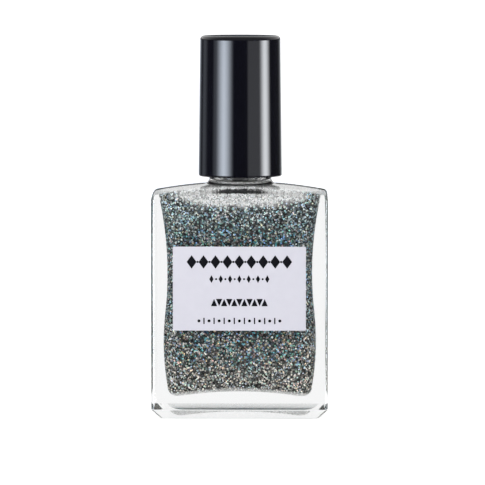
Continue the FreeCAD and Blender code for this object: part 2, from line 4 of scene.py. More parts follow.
import bpy
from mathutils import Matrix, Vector


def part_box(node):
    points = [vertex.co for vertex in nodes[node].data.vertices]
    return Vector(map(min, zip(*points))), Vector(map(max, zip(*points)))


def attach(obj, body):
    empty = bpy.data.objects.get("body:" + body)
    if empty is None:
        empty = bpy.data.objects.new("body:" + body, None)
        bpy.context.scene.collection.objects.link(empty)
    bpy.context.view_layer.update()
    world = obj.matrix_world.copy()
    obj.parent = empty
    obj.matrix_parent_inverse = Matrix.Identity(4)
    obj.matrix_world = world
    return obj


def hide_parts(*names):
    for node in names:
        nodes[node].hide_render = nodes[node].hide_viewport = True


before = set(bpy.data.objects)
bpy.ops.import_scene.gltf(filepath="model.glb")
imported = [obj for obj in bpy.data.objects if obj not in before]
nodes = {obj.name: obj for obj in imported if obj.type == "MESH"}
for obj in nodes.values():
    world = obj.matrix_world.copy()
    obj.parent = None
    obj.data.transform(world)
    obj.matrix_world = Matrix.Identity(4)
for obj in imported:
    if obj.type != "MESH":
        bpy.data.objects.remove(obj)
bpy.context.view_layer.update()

# A nail lacquer bottle: clear glass full of glitter lacquer, a glossy black cap that carries
# the brush, and a paper label. Metres, +Z up, the label on the -Y side.

MM = 0.001
TAU = 2 * math.pi
QUARTER = math.pi / 2

# ---- places read from the frame ----------------------------------------------------------

glass_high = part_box("glass_bottle")[1]
cap_low, cap_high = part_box("outer_cap")
label_low, label_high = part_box("front_label")
tuft_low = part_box("bristles")[0]
stem_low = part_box("brush_stem")[0]
closure_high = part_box("inner_cap")[1]

# ---- sizes that the glass shares with the frame's design ---------------------------------

HALF_WIDTH = glass_high.x
HALF_DEPTH = glass_high.y
RIM = glass_high.z
CORNER = 0.8 * MM
FOOT_BEVEL = 1.9 * MM
FOOT_CORNER = 0.6 * MM
FOOT_EASE = 0.4 * MM
SHOULDER_ROUND = 0.8 * MM
CROWN = 46.6 * MM
DOME = 93.0 * MM
COLLAR = 6.2 * MM
COLLAR_TOP = 48.6 * MM
COLLAR_EDGE_IN = 0.1 * MM
COLLAR_EDGE_DOWN = 0.15 * MM
FLARE = 1.0 * MM
NECK = 5.7 * MM
RIM_ROUND = 0.5 * MM
BORE = 3.8 * MM
BORE_FLARE = 1.0 * MM
FLARE_DROP = 0.15 * MM
PITCH = 2.1167 * MM
THREAD_DEPTH = 0.72 * MM
THREAD_START = 52.2 * MM
THREAD_TURNS = 1.75
THREAD_ROOT = 1.15 * MM
THREAD_CREST = 0.45 * MM
CEILING = 45.2 * MM
CAVITY_HALF_DEPTH = 7.35 * MM
CAVITY_CORNER = 3.4 * MM
CAVITY_EDGE = 2.2 * MM
CAVITY_BROW = 1.2 * MM
BROW_DROP = 2.1 * MM
FLOOR_EDGE_DROP = 1.0 * MM
CEILING_DOME = 130.0 * MM
FLOOR_LEVEL = 5.31 * MM
FLOOR_ARCH = 80.0 * MM
FILL_LEVEL = 46.2 * MM
PUNT_RISE = 0.35 * MM
PUNT_HALF = (13.5 * MM, 6.5 * MM)
PUNT_CORNER = 3.0 * MM
PUNT_EDGE = 0.9 * MM

# points along one side of an outline

FRONT_STEPS = 88
SIDE_STEPS = 48
CORNER_STEPS = 14
RING = 2 * (FRONT_STEPS + SIDE_STEPS) + 4 * CORNER_STEPS


# ---- mesh helpers ----------------------------------------------------------------------


def mesh_object(name, points, faces, smooth=True):
    """A new object from points and faces."""
    mesh = bpy.data.meshes.new(name)
    mesh.from_pydata([tuple(p) for p in points], [], faces)
    mesh.validate()
    mesh.update()
    if smooth:
        mesh.shade_smooth()
    else:
        mesh.shade_flat()
    made = bpy.data.objects.new(name, mesh)
    bpy.context.scene.collection.objects.link(made)
    return made


def loft(name, rings, first=None, last=None):
    """A closed skin through rings of equal length, capped by a point at either end."""
    count = len(rings[0])
    points = [p for ring in rings for p in ring]
    faces = []
    for r in range(len(rings) - 1):
        low, high = r * count, (r + 1) * count
        for i in range(count):
            j = (i + 1) % count
            faces.append((low + i, low + j, high + j, high + i))
    if first is not None:
        points.append(first)
        faces += [((i + 1) % count, i, len(points) - 1) for i in range(count)]
    if last is not None:
        points.append(last)
        top = (len(rings) - 1) * count
        faces += [(top + i, top + (i + 1) % count, len(points) - 1) for i in range(count)]
    return mesh_object(name, points, faces)


def steps(count):
    """Fractions from 0 to 1, both included."""
    return [i / count for i in range(count + 1)]


def smooth_step(x):
    """0 below 0, 1 above 1, and an even curve between."""
    x = min(1.0, max(0.0, x))
    return x * x * (3 - 2 * x)


def mix(a, b, t):
    """Part of the way from one number to another."""
    return a + (b - a) * t


def between(a, b, t):
    """Part of the way from one flat point to another."""
    return (mix(a[0], b[0], t), mix(a[1], b[1], t))


def rounded_outline(half_x, half_y, radius):
    """Points round a rounded rectangle, anticlockwise from the middle of its +X side."""
    inner_x, inner_y = half_x - radius, half_y - radius
    corners = [(inner_x, inner_y), (-inner_x, inner_y), (-inner_x, -inner_y), (inner_x, -inner_y)]
    counts = [SIDE_STEPS // 2, FRONT_STEPS, SIDE_STEPS, FRONT_STEPS]
    made = []
    here = (half_x, 0)
    for quarter, ((x, y), count) in enumerate(zip(corners, counts)):
        turns = [(quarter + t) * QUARTER for t in steps(CORNER_STEPS)]
        arc = [(x + radius * math.cos(a), y + radius * math.sin(a)) for a in turns]
        made += straight_run(here, arc[0], count) + arc[:-1]
        here = arc[-1]
    return made + straight_run(here, (half_x, 0), SIDE_STEPS // 2)


def straight_run(start, end, count):
    """Even points from one place towards another, which is left out."""
    return [between(start, end, t) for t in steps(count)[:-1]]


def circle(radius):
    """Points evenly spaced round a circle, from +X."""
    angles = [TAU * i / RING for i in range(RING)]
    return [(radius * math.cos(a), radius * math.sin(a)) for a in angles]


def level_ring(outline, height):
    """An outline lifted to a height, which may depend on the place."""
    rise = height if callable(height) else lambda x, y: height
    return [Vector((x, y, rise(x, y))) for x, y in outline]


def blend_outlines(a, b, t):
    """An outline part of the way from one to another."""
    return [between(p, q, t) for p, q in zip(a, b)]


def raised(surface, lift):
    """A surface's height with some lift added to it."""
    return lambda x, y: surface(x, y) + lift


def dome(crown, radius=DOME):
    """The height above a place of a sphere on the neck's axis."""
    return lambda x, y: crown - (radius - math.sqrt(radius**2 - x * x - y * y))


# ---- glass -------------------------------------------------------------------------------


def glass_outline(inset):
    """The glass's outline on its sides and round its shoulder's edge."""
    radius = max(CORNER - inset, 0.05 * MM)
    return rounded_outline(HALF_WIDTH - inset, HALF_DEPTH - inset, radius)


def foot_outline(inset):
    """The glass's outline on the bevel round its foot."""
    radius = mix(CORNER, FOOT_CORNER, inset / FOOT_BEVEL)
    return rounded_outline(HALF_WIDTH - inset, HALF_DEPTH - inset, radius)


EASE_REACH = FOOT_EASE * math.tan(QUARTER / 4)
FOOT_TOP = FOOT_BEVEL + EASE_REACH


def foot_rings():
    """From the middle of the foot out over its bevel to the sides."""
    rings = []
    for t in (0.15, 0.4, 0.7, 1.0):
        outline = rounded_outline(PUNT_HALF[0] * t, PUNT_HALF[1] * t, PUNT_CORNER * t)
        rings.append(level_ring(outline, PUNT_RISE))
    for t in steps(6)[1:]:
        grow = PUNT_EDGE * t
        outline = rounded_outline(PUNT_HALF[0] + grow, PUNT_HALF[1] + grow, PUNT_CORNER + grow)
        rings.append(level_ring(outline, PUNT_RISE * (1 - smooth_step(t))))
    for t in steps(6):
        turn = QUARTER / 2 * t
        inset = FOOT_TOP - FOOT_EASE * math.sin(turn)
        rings.append(level_ring(foot_outline(inset), FOOT_EASE * (1 - math.cos(turn))))
    for t in steps(6):
        turn = QUARTER / 2 * (1 + t)
        inset = FOOT_EASE * (1 - math.sin(turn))
        rings.append(level_ring(foot_outline(inset), FOOT_TOP - FOOT_EASE * math.cos(turn)))
    return rings


def side_rings():
    """Up the sides, over the shoulder's edge and in to the collar."""
    shoulder = dome(CROWN)
    outline = glass_outline(0)
    rings = []
    for t in steps(8)[1:]:
        ring = []
        for x, y in outline:
            ring.append(Vector((x, y, mix(FOOT_TOP, shoulder(x, y) - SHOULDER_ROUND, t))))
        rings.append(ring)
    for t in steps(12)[1:]:
        turn = QUARTER * t
        drop = SHOULDER_ROUND * (1 - math.sin(turn))
        outline = glass_outline(SHOULDER_ROUND * (1 - math.cos(turn)))
        rings.append(level_ring(outline, raised(shoulder, -drop)))
    rim, collar = glass_outline(SHOULDER_ROUND), circle(COLLAR + FLARE)
    for t in steps(22)[1:]:
        rings.append(level_ring(blend_outlines(rim, collar, t), shoulder))
    for t in steps(8)[1:]:
        turn = QUARTER * t
        outline = circle(COLLAR + FLARE * (1 - math.sin(turn)))
        lift = FLARE * (1 - math.cos(turn))
        rings.append(level_ring(outline, raised(shoulder, lift)))
    return rings


THREAD_FADE = 0.075
THREAD_SLOPE = (THREAD_ROOT - THREAD_CREST) / 2


def thread_height(angle, height):
    """How far the moulded thread stands out of the neck at a place."""
    stands = 0.0
    for turn in range(3):
        along = angle / TAU + turn
        middle = THREAD_START + PITCH * along
        fade = smooth_step(along / THREAD_FADE)
        fade *= smooth_step((THREAD_TURNS - along) / THREAD_FADE)
        off = abs(height - middle)
        section = 1 - smooth_step((off - THREAD_CREST / 2) / THREAD_SLOPE)
        stands = max(stands, THREAD_DEPTH * section * fade)
    return stands


def neck_rings():
    """The collar, the threaded neck and its rim."""
    rings = [level_ring(circle(COLLAR), COLLAR_TOP - COLLAR_EDGE_DOWN)]
    rings.append(level_ring(circle(COLLAR - COLLAR_EDGE_IN), COLLAR_TOP))
    step_top = COLLAR_TOP + COLLAR - NECK
    rings.append(level_ring(circle(NECK), step_top))
    top = RIM - RIM_ROUND
    for t in steps(66)[1:]:
        height = mix(step_top, top, t)
        ring = []
        for i in range(RING):
            angle = TAU * i / RING
            radius = NECK + thread_height(angle, height)
            ring.append(Vector((radius * math.cos(angle), radius * math.sin(angle), height)))
        rings.append(ring)
    for t in steps(6)[1:]:
        turn = QUARTER * t
        radius = NECK - RIM_ROUND * (1 - math.cos(turn))
        rings.append(level_ring(circle(radius), top + RIM_ROUND * math.sin(turn)))
    for t in steps(6):
        turn = QUARTER * t
        radius = BORE + RIM_ROUND * (1 - math.sin(turn))
        rings.append(level_ring(circle(radius), RIM - RIM_ROUND * (1 - math.cos(turn))))
    return rings


# two stretches of the hollow's side wall: half width, the height where it turns, how flat it is

WAIST = (14.34 * MM, 28.97 * MM, 140 * MM)
BELLY = (15.11 * MM, 15.37 * MM, 102 * MM)
WALL_TURN = 21.0 * MM
CAVITY_LEAST_CORNER = 0.8 * MM


def cavity_half_width(height):
    """The side wall: wide at the shoulder, narrow above the middle, full below it."""
    half, middle, curve = WAIST if height > WALL_TURN else BELLY
    bulge = (height - middle) ** 2 / curve
    return half + bulge if height > WALL_TURN else half - bulge


def cavity_floor(x, y):
    """The height of the floor, arched across the front."""
    return FLOOR_LEVEL - (FLOOR_ARCH - math.sqrt(FLOOR_ARCH**2 - x * x))


def cavity_outline(height, inset, grow):
    """The hollow's outline at a height, drawn in by an inset and let out by some growth."""
    half_x = cavity_half_width(height) - inset + grow
    half_y = CAVITY_HALF_DEPTH - inset + grow
    corner = max(CAVITY_CORNER - inset + grow, CAVITY_LEAST_CORNER)
    return rounded_outline(half_x, half_y, corner)


def cavity_rings(grow=0.0):
    """The hollow of the glass from its ceiling down to its floor, let out by some growth."""
    ceiling = dome(CEILING + grow, CEILING_DOME)
    rings = []
    mouth, brow = circle(BORE + BORE_FLARE), CEILING - BROW_DROP
    edge = cavity_outline(brow, CAVITY_BROW, grow)
    for t in steps(18):
        rings.append(level_ring(blend_outlines(mouth, edge, t), ceiling))
    for t in steps(10)[1:]:
        turn = QUARTER * t
        outline = cavity_outline(brow, CAVITY_BROW * (1 - math.sin(turn)), grow)
        drop = CAVITY_BROW * (1 - math.cos(turn))
        rings.append(level_ring(outline, raised(ceiling, -drop)))
    low = FLOOR_LEVEL + CAVITY_EDGE - FLOOR_EDGE_DROP
    high = rings[-1]
    for t in steps(56)[1:]:
        ring = []
        outline = cavity_outline(mix(brow, low, t), 0, grow)
        for (x, y), start in zip(outline, high):
            end = cavity_floor(x, y) - grow + CAVITY_EDGE
            ring.append(Vector((x, y, mix(start.z, end, t))))
        rings.append(ring)
    for t in steps(10)[1:]:
        turn = QUARTER * t
        outline = cavity_outline(low, CAVITY_EDGE * (1 - math.cos(turn)), grow)
        lift = CAVITY_EDGE * (1 - math.sin(turn)) - grow
        rings.append(level_ring(outline, raised(cavity_floor, lift)))
    edge = cavity_outline(low, CAVITY_EDGE, grow)
    for t in (0.85, 0.65, 0.45, 0.25, 0.1):
        outline = [(x * t, y * t) for x, y in edge]
        rings.append(level_ring(outline, raised(cavity_floor, -grow)))
    return rings


def bore_rings():
    """Down the bore to where it opens out into the hollow."""
    rings = []
    flare_top = CEILING - FLARE_DROP + BORE_FLARE
    for t in steps(8)[1:]:
        rings.append(level_ring(circle(BORE), mix(RIM - RIM_ROUND, flare_top, t)))
    for t in steps(6)[1:-1]:
        turn = QUARTER * t
        radius = BORE + BORE_FLARE * (1 - math.cos(turn))
        rings.append(level_ring(circle(radius), flare_top - BORE_FLARE * math.sin(turn)))
    return rings


def make_glass():
    """The bottle's one closed skin, outside and inside."""
    rings = foot_rings() + side_rings() + neck_rings() + bore_rings() + cavity_rings()
    glass = loft("bottle_glass", rings, Vector((0, 0, PUNT_RISE)), Vector((0, 0, FLOOR_LEVEL)))
    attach(glass, "bottle")
    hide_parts("glass_bottle")
    return glass


WETTING = 0.03 * MM
THROAT_SLOPE = 0.35 * MM
SURFACE_RADII = (1.0 * MM, 2.2 * MM, 3.2 * MM)
MENISCUS = [
    # radius, and how far the lacquer creeps up there
    (3.6 * MM, 0.04 * MM),
    (3.78 * MM, 0.16 * MM),
    (3.83 * MM, 0.3 * MM),
]


def make_lacquer():
    """The lacquer, let a little way into the glass so that the two surfaces never coincide."""
    surface = [level_ring(circle(radius), FILL_LEVEL) for radius in SURFACE_RADII]
    surface += [level_ring(circle(radius), FILL_LEVEL + up) for radius, up in MENISCUS]
    throat = [level_ring(circle(BORE + WETTING), CEILING + BORE_FLARE)]
    throat.append(level_ring(circle(BORE + THROAT_SLOPE), CEILING + THROAT_SLOPE))
    rings = surface + throat + cavity_rings(WETTING)
    rings.reverse()
    bottom = Vector((0, 0, FLOOR_LEVEL - WETTING))
    lacquer = loft("lacquer_body", rings, bottom, Vector((0, 0, FILL_LEVEL)))
    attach(lacquer, "bottle")
    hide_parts("lacquer_fill")
    return lacquer


# ---- cap ---------------------------------------------------------------------------------

# the shell's outside

CAP_FOOT_RADIUS = 8.33 * MM
CAP_TOP_RADIUS = 8.0 * MM
CAP_BROW = 0.8 * MM
CAP_LIP = 0.4 * MM
WALL_LEAN = 0.012
EDGE_ROW = 0.003

# its inside: a bore that the closure fills, and a narrower one above it

CAP_BORE = 7.44 * MM
CAP_UPPER_BORE = 7.05 * MM
CAP_ROOF = 1.2 * MM
INNER_LIP = 0.15 * MM
LEDGE_GAP = 0.02 * MM
LEDGE_RISE = 0.01 * MM


def arc_profile(centre, radius, start, end, count):
    """Points (radius, height) on an arc of a section, angles in radians from the +radius axis."""
    across, up = centre
    turns = [mix(start, end, t) for t in steps(count)]
    return [(across + radius * math.cos(a), up + radius * math.sin(a)) for a in turns]


def run_profile(start, end, count):
    """Points along a straight stretch of a section, its first one left out."""
    return [between(start, end, t) for t in steps(count)[1:]]


def make_cap():
    """The overcap's tapered shell, turned from one closed section.

    A thin row at either end of the wall keeps the roundings from bending its gloss.
    """
    foot, top = cap_low.z, cap_high.z
    profile = [(0.5 * CAP_TOP_RADIUS, top), (0.8 * CAP_TOP_RADIUS, top)]
    centre = (CAP_TOP_RADIUS - CAP_BROW, top - CAP_BROW)
    profile += arc_profile(centre, CAP_BROW, QUARTER, WALL_LEAN, 14)
    brow, lip = profile[-1], (CAP_FOOT_RADIUS, foot + CAP_LIP)
    start, end = between(brow, lip, EDGE_ROW), between(brow, lip, 1 - EDGE_ROW)
    profile += [start] + run_profile(start, end, 22) + [lip]
    centre = (CAP_FOOT_RADIUS - CAP_LIP, foot + CAP_LIP)
    profile += arc_profile(centre, CAP_LIP, 0, -QUARTER, 6)[1:]
    centre = (CAP_BORE + INNER_LIP, foot + INNER_LIP)
    profile += arc_profile(centre, INNER_LIP, -QUARTER, -2 * QUARTER, 4)
    ledge = closure_high.z + LEDGE_GAP
    profile += run_profile(profile[-1], (CAP_BORE, ledge), 6)
    profile += [(CAP_UPPER_BORE, ledge + LEDGE_RISE)]
    profile += run_profile(profile[-1], (CAP_UPPER_BORE, top - CAP_ROOF), 4)
    profile += [(0.6 * CAP_UPPER_BORE, top - CAP_ROOF)]
    rings = [level_ring(circle(radius), height) for radius, height in profile]
    rings.reverse()
    cap = loft("cap_shell", rings, Vector((0, 0, top - CAP_ROOF)), Vector((0, 0, top)))
    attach(cap, "cap")
    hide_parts("outer_cap")
    return cap


# ---- brush -------------------------------------------------------------------------------

FILAMENTS = 190
FILAMENT_RADIUS = 0.055 * MM
FILAMENT_TAPER = 0.45
FILAMENT_SIDES = 5
FILAMENT_SPANS = 7
FILAMENT_BOW = 0.05 * MM
ROOT_RADIUS = 1.034 * MM
ROOT_DEPTH = 2.4 * MM
TUFT_SPREAD = 1.4
TUFT_FLATNESS = 0.9
GOLDEN_TURN = 0.381966
BRUSH_SEED = 11

# the lacquer that clings to the brush

COAT_SEED = 5
COAT_WAVES = 7
COAT_STEPS = 48
COAT_RIPPLE = 0.022
COAT_PROFILE = [
    # height and radius in millimetres, from the socket down to the tuft's end
    (24.6, 1.62),
    (24.0, 1.8),
    (22.5, 1.84),
    (20.6, 1.83),
    (19.6, 1.62),
    (18.0, 1.45),
    (15.5, 1.5),
    (13.0, 1.62),
    (11.2, 1.72),
    (9.8, 1.66),
    (8.8, 1.42),
    (8.2, 1.05),
    (8.0, 0.5),
]


def filament(points, faces, root, tip, bow):
    """One tapering bristle from its root to its tip."""
    sides, spans = FILAMENT_SIDES, FILAMENT_SPANS
    start = len(points)
    for s in steps(spans):
        middle = root.lerp(tip, s) + bow * math.sin(math.pi * s)
        radius = FILAMENT_RADIUS * (1 - FILAMENT_TAPER * s)
        for k in range(sides):
            angle = TAU * k / sides
            offset = Vector((radius * math.cos(angle), radius * math.sin(angle), 0))
            points.append(middle + offset)
    for s in range(spans):
        for k in range(sides):
            low, high = start + s * sides, start + (s + 1) * sides
            j = (k + 1) % sides
            faces.append((low + j, low + k, high + k, high + j))
    faces.append(tuple(start + k for k in range(sides)))
    faces.append(tuple(start + spans * sides + k for k in reversed(range(sides))))


def make_bristles():
    """The tuft: separate filaments that leave the socket together and come to a domed end."""
    draws = random.Random(BRUSH_SEED)
    points, faces = [], []
    for n in range(FILAMENTS):
        spread = math.sqrt((n + 0.5) / FILAMENTS)
        angle = n * TAU * GOLDEN_TURN
        root = Vector((math.cos(angle), math.sin(angle), 0)) * spread * ROOT_RADIUS
        root.z = stem_low.z + ROOT_DEPTH
        reach = TUFT_SPREAD * draws.uniform(0.92, 1.04)
        tip = Vector((root.x * reach, root.y * reach * TUFT_FLATNESS, 0))
        tip.z = tuft_low.z + (0.1 + 0.9 * spread**2.5 + draws.uniform(0, 0.35)) * MM
        bow = Vector((draws.uniform(-1, 1), draws.uniform(-1, 1), 0)) * FILAMENT_BOW
        filament(points, faces, root, tip, bow)
    tuft = mesh_object("bristle_tuft", points, faces)
    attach(tuft, "brush")
    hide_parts("bristles")
    return tuft


def make_wet_coat():
    """Lacquer that clings to the socket and most of the tuft, with a bead near its end."""
    draws = random.Random(COAT_SEED)
    waves = []
    for _ in range(COAT_WAVES):
        waves.append((draws.randint(2, 5), draws.uniform(0.4, 1.3), draws.uniform(0, TAU)))
    rings = []
    profile = smooth_profile(COAT_PROFILE, 60)
    for height, radius in profile:
        ring = []
        for i in range(COAT_STEPS):
            angle = TAU * i / COAT_STEPS
            ripple = sum(math.sin(k * angle + rate * height + at) for k, rate, at in waves)
            reach = (radius + COAT_RIPPLE * ripple) * MM
            ring.append(Vector((reach * math.cos(angle), reach * math.sin(angle), height * MM)))
        rings.append(ring)
    rings.reverse()
    first, last = Vector((0, 0, profile[-1][0] * MM)), Vector((0, 0, profile[0][0] * MM))
    coat = loft("wet_coat", rings, first, last)
    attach(coat, "brush")
    return coat


def smooth_profile(points, count):
    """Even samples of a Catmull-Rom curve through (height, radius) points."""
    made = []
    spans = len(points) - 1
    for t in steps(count):
        place = min(t * spans, spans - 1e-6)
        i = int(place)
        f = place - i
        p0, p1 = points[max(i - 1, 0)], points[i]
        p2, p3 = points[i + 1], points[min(i + 2, spans)]
        made.append(tuple(catmull_rom(a, b, c, d, f) for a, b, c, d in zip(p0, p1, p2, p3)))
    return made


def catmull_rom(a, b, c, d, t):
    """A place between b and c on the smooth curve through four numbers."""
    square = (2 * a - 5 * b + 4 * c - d) * t**2
    cube = (3 * b - a - 3 * c + d) * t**3
    return 0.5 * (2 * b + (c - a) * t + square + cube)


# ---- label -------------------------------------------------------------------------------

INK_THICKNESS = 0.012 * MM

# the ornament's rows, in millimetres from the label's middle

TOP_ROW = 5.3
SECOND_ROW = 1.9
THIRD_ROW = -2.75
LAST_ROW = -6.4
BIG_PITCH = 2.36


def ink_prism(points, faces, outline):
    """A flat printed shape, given by (across, up) points in millimetres from the label's middle."""
    middle_x = (label_low.x + label_high.x) / 2
    middle_z = (label_low.z + label_high.z) / 2
    start = len(points)
    count = len(outline)
    for depth in (label_low.y, label_low.y - INK_THICKNESS):
        for across, up in outline:
            points.append((middle_x + across * MM, depth, middle_z + up * MM))
    faces.append(tuple(start + count + i for i in range(count)))
    faces.append(tuple(start + i for i in reversed(range(count))))
    for i in range(count):
        j = (i + 1) % count
        faces.append((start + i, start + j, start + count + j, start + count + i))


def lozenge(x, y, half_x, half_y):
    """A diamond that stands on its point."""
    return [(x - half_x, y), (x, y - half_y), (x + half_x, y), (x, y + half_y)]


def bar(x, y, half_x, half_y):
    """An upright rectangle."""
    corners = ((-1, -1), (1, -1), (1, 1), (-1, 1))
    return [(x + i * half_x, y + j * half_y) for i, j in corners]


def disc(x, y, radius, sides=20):
    """A round dot."""
    turns = [TAU * i / sides for i in range(sides)]
    return [(x + radius * math.cos(a), y + radius * math.sin(a)) for a in turns]


def triangle(x, y, half_x, half_y):
    """A triangle that points up, or down where its half height is negative."""
    corners = [(x - half_x, y - half_y), (x + half_x, y - half_y), (x, y + half_y)]
    return corners if half_y > 0 else corners[::-1]


def make_label_print():
    """A plain ornament in place of print: lozenges over three rows of small geometric marks."""
    points, faces = [], []
    for n in range(-4, 5):
        ink_prism(points, faces, lozenge(n * BIG_PITCH, TOP_ROW, 0.98, 1.34))
        if n < 4:
            ink_prism(points, faces, disc((n + 0.5) * BIG_PITCH, TOP_ROW, 0.22))
    for n in range(13):
        across = (n - 6) * 0.92
        mark = disc(across, SECOND_ROW, 0.2)
        if n % 2 == 0:
            mark = lozenge(across, SECOND_ROW, 0.42, 0.78)
        ink_prism(points, faces, mark)
    for n in range(11):
        ink_prism(points, faces, triangle((n - 5) * 1.0, THIRD_ROW, 0.62, 0.72 * (-1) ** n))
    for n in range(17):
        across = (n - 8) * 1.0
        mark = bar(across, LAST_ROW, 0.13, 0.62) if n % 2 else disc(across, LAST_ROW, 0.3)
        ink_prism(points, faces, mark)
    printed = mesh_object("label_ornament", points, faces, smooth=False)
    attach(printed, "bottle")
    return printed


# ---- materials ---------------------------------------------------------------------------


class Nodes:
    """Short ways to add nodes to one tree."""

    def __init__(self, tree):
        self.tree = tree

    def node(self, kind, links=None, **settings):
        """Adds a node, sets it up and feeds its sockets."""
        made = self.tree.nodes.new(kind)
        for key, value in settings.items():
            setattr(made, key, value)
        for key, source in (links or {}).items():
            self.feed(made.inputs[key], source)
        return made

    def feed(self, socket, source):
        """Links a socket to another one, or gives it a value."""
        if isinstance(source, bpy.types.NodeSocket):
            self.tree.links.new(source, socket)
        else:
            socket.default_value = source

    def place(self):
        """The place on the object, in metres, which moves with it."""
        return self.node("ShaderNodeTexCoord").outputs["Object"]

    def maths(self, operation, *sources, clamp=False):
        """Arithmetic on numbers."""
        made = self.node("ShaderNodeMath", operation=operation, use_clamp=clamp)
        for i, source in enumerate(sources):
            self.feed(made.inputs[i], source)
        return made.outputs[0]

    def vector(self, operation, *sources):
        """Arithmetic on vectors."""
        made = self.node("ShaderNodeVectorMath", operation=operation)
        for i, source in enumerate(sources):
            self.feed(made.inputs[i], source)
        return made.outputs[0]

    def scaled(self, source, factor):
        """A vector made longer or shorter."""
        made = self.node("ShaderNodeVectorMath", {0: source}, operation="SCALE")
        made.inputs["Scale"].default_value = factor
        return made.outputs[0]

    def noise(self, size, detail=3.0, roughness=0.5):
        """Noise whose features are about one size across, in metres."""
        links = {"Vector": self.place(), "Scale": 1 / size, "Detail": detail}
        links["Roughness"] = roughness
        return self.node("ShaderNodeTexNoise", links).outputs[0]

    def grey(self, value):
        """The same value in red, green and blue."""
        return self.node("ShaderNodeCombineColor", {0: value, 1: value, 2: value}).outputs[0]

    def parts(self, vector):
        """The three numbers of a vector."""
        return tuple(self.node("ShaderNodeSeparateXYZ", {0: vector}).outputs)

    def spread(self, source, low, high, start=0.0, end=1.0, kind="LINEAR"):
        """Maps start..end of the source to low..high, and holds it there outside."""
        made = self.node("ShaderNodeMapRange", interpolation_type=kind)
        for key, value in zip((0, 1, 2, 3, 4), (source, start, end, low, high)):
            self.feed(made.inputs[key], value)
        return made.outputs[0]

    def fade(self, source, low, high, start, end):
        """A spread that eases in and out."""
        return self.spread(source, low, high, start, end, "SMOOTHSTEP")

    def ramp(self, source, stops, kind="LINEAR"):
        """A colour from a list of (place, colour) stops."""
        made = self.node("ShaderNodeValToRGB", {0: source})
        made.color_ramp.interpolation = kind
        elements = made.color_ramp.elements
        elements[0].position, elements[0].color = stops[0][0], (*stops[0][1], 1)
        elements[1].position, elements[1].color = stops[-1][0], (*stops[-1][1], 1)
        for place, colour in stops[1:-1]:
            elements.new(place).color = (*colour, 1)
        return made.outputs[0]

    def mixed(self, factor, a, b, kind="MIX"):
        """Two colours put together."""
        made = self.node("ShaderNodeMix", data_type="RGBA", blend_type=kind)
        for index, source in ((0, factor), (6, a), (7, b)):
            if isinstance(source, tuple):
                source = (*source, 1)
            self.feed(made.inputs[index], source)
        return made.outputs[2]

    def bump(self, source, strength, depth):
        """A normal tilted by a height, with its depth in metres."""
        links = {"Height": source, "Strength": strength, "Distance": depth}
        return self.node("ShaderNodeBump", links).outputs[0]

    def flakes(self):
        """Cells the size of one flake, each with three random numbers for its colour."""
        links = {"Vector": self.place(), "Scale": 1 / GLITTER}
        return self.node("ShaderNodeTexVoronoi", links, feature="F1").outputs["Color"]


class Shader(Nodes):
    """A material made of one Principled shader and the nodes that feed it."""

    def __init__(self, name, **values):
        self.material = bpy.data.materials.new(name)
        self.material.use_nodes = True
        super().__init__(self.material.node_tree)
        self.shader = self.tree.nodes["Principled BSDF"]
        for key, value in values.items():
            self.set(key, value)

    def set(self, key, source):
        """Sets or feeds one of the shader's own sockets, an underscore standing for a space."""
        self.feed(self.shader.inputs[key.replace("_", " ")], source)


def dress(thing, shader):
    """Gives a piece or a CAD node one material all over."""
    thing.data.materials.clear()
    thing.data.materials.append(shader.material)


def glass_material():
    """Clear pressed glass with the faint waviness of its mould."""
    glass = Shader("clear_glass", Base_Color=(0.985, 0.99, 0.99, 1), IOR=1.52)
    glass.set("Transmission Weight", 1.0)
    wave = glass.noise(9 * MM, detail=1.0)
    glass.set("Normal", glass.bump(wave, 0.12, 0.05 * MM))
    glass.set("Roughness", glass.spread(glass.noise(3 * MM), 0.0, 0.012))
    return glass


GLITTER = 0.27 * MM
FLAKE_HUES = [
    # a share of the flakes starts at each place, with this tint
    (0.0, (0.22, 0.62, 0.72)),
    (0.18, (0.74, 0.74, 0.72)),
    (0.36, (0.80, 0.66, 0.40)),
    (0.46, (0.28, 0.46, 0.80)),
    (0.58, (0.84, 0.84, 0.82)),
    (0.72, (0.76, 0.50, 0.50)),
    (0.79, (0.30, 0.64, 0.50)),
    (0.90, (0.92, 0.90, 0.84)),
]
LACQUER_LIGHT_BY_HEIGHT = [
    # painted light and shade, from the floor of the hollow to its ceiling: darkest in the middle,
    # lighter towards the floor and lighter still near the top
    (0.0, (0.46, 0.44, 0.41)),
    (0.12, (0.42, 0.40, 0.37)),
    (0.22, (0.33, 0.33, 0.325)),
    (0.38, (0.28, 0.32, 0.33)),
    (0.60, (0.29, 0.32, 0.33)),
    (0.82, (0.28, 0.34, 0.355)),
    (0.90, (0.40, 0.44, 0.45)),
    (1.0, (0.50, 0.52, 0.53)),
]

# where the flakes lose their colour: near the floor, near the top and at the sides

DULL_FLOOR = (8.5 * MM, 12.5 * MM)
DULL_TOP = (35 * MM, 40 * MM)
DULL_SIDES = (11 * MM, 14.5 * MM)
DULL_HUE = (0.64, 0.64, 0.63)

# how far the bands of painted light and shade wander up and down, and how they sag towards the
# sides

BAND_DRIFT = 1.8 * MM
BAND_SAG = -12.0

# where the pale silver band of painted light at the top begins, how level a face is to be painted
# pale as if lit, the flakes' lean

TOP_LIGHT_EDGE = (41.3 * MM, 42.7 * MM)
PAINTED_PALE_SILVER = (0.97, 0.97, 0.96)
LIT_FACE_TILT = (0.55, 0.9)
FLAKE_LEAN = 0.8

# the painted shadow that the collar casts on the lacquer's top: its outer edge, its lower and upper
# edges, its colour

THROAT_SIDES = (5.4 * MM, 7.0 * MM)
THROAT_FOOT = (CEILING - 0.66 * MM, CEILING - 0.42 * MM)
THROAT_HEAD = (CEILING + 0.1 * MM, CEILING + 0.3 * MM)
THROAT_PAINTED_SHADOW = (0.01, 0.011, 0.012)
RAGGED_REACH = 2.0 * MM
RAGGED_BRINK = 0.45 * MM


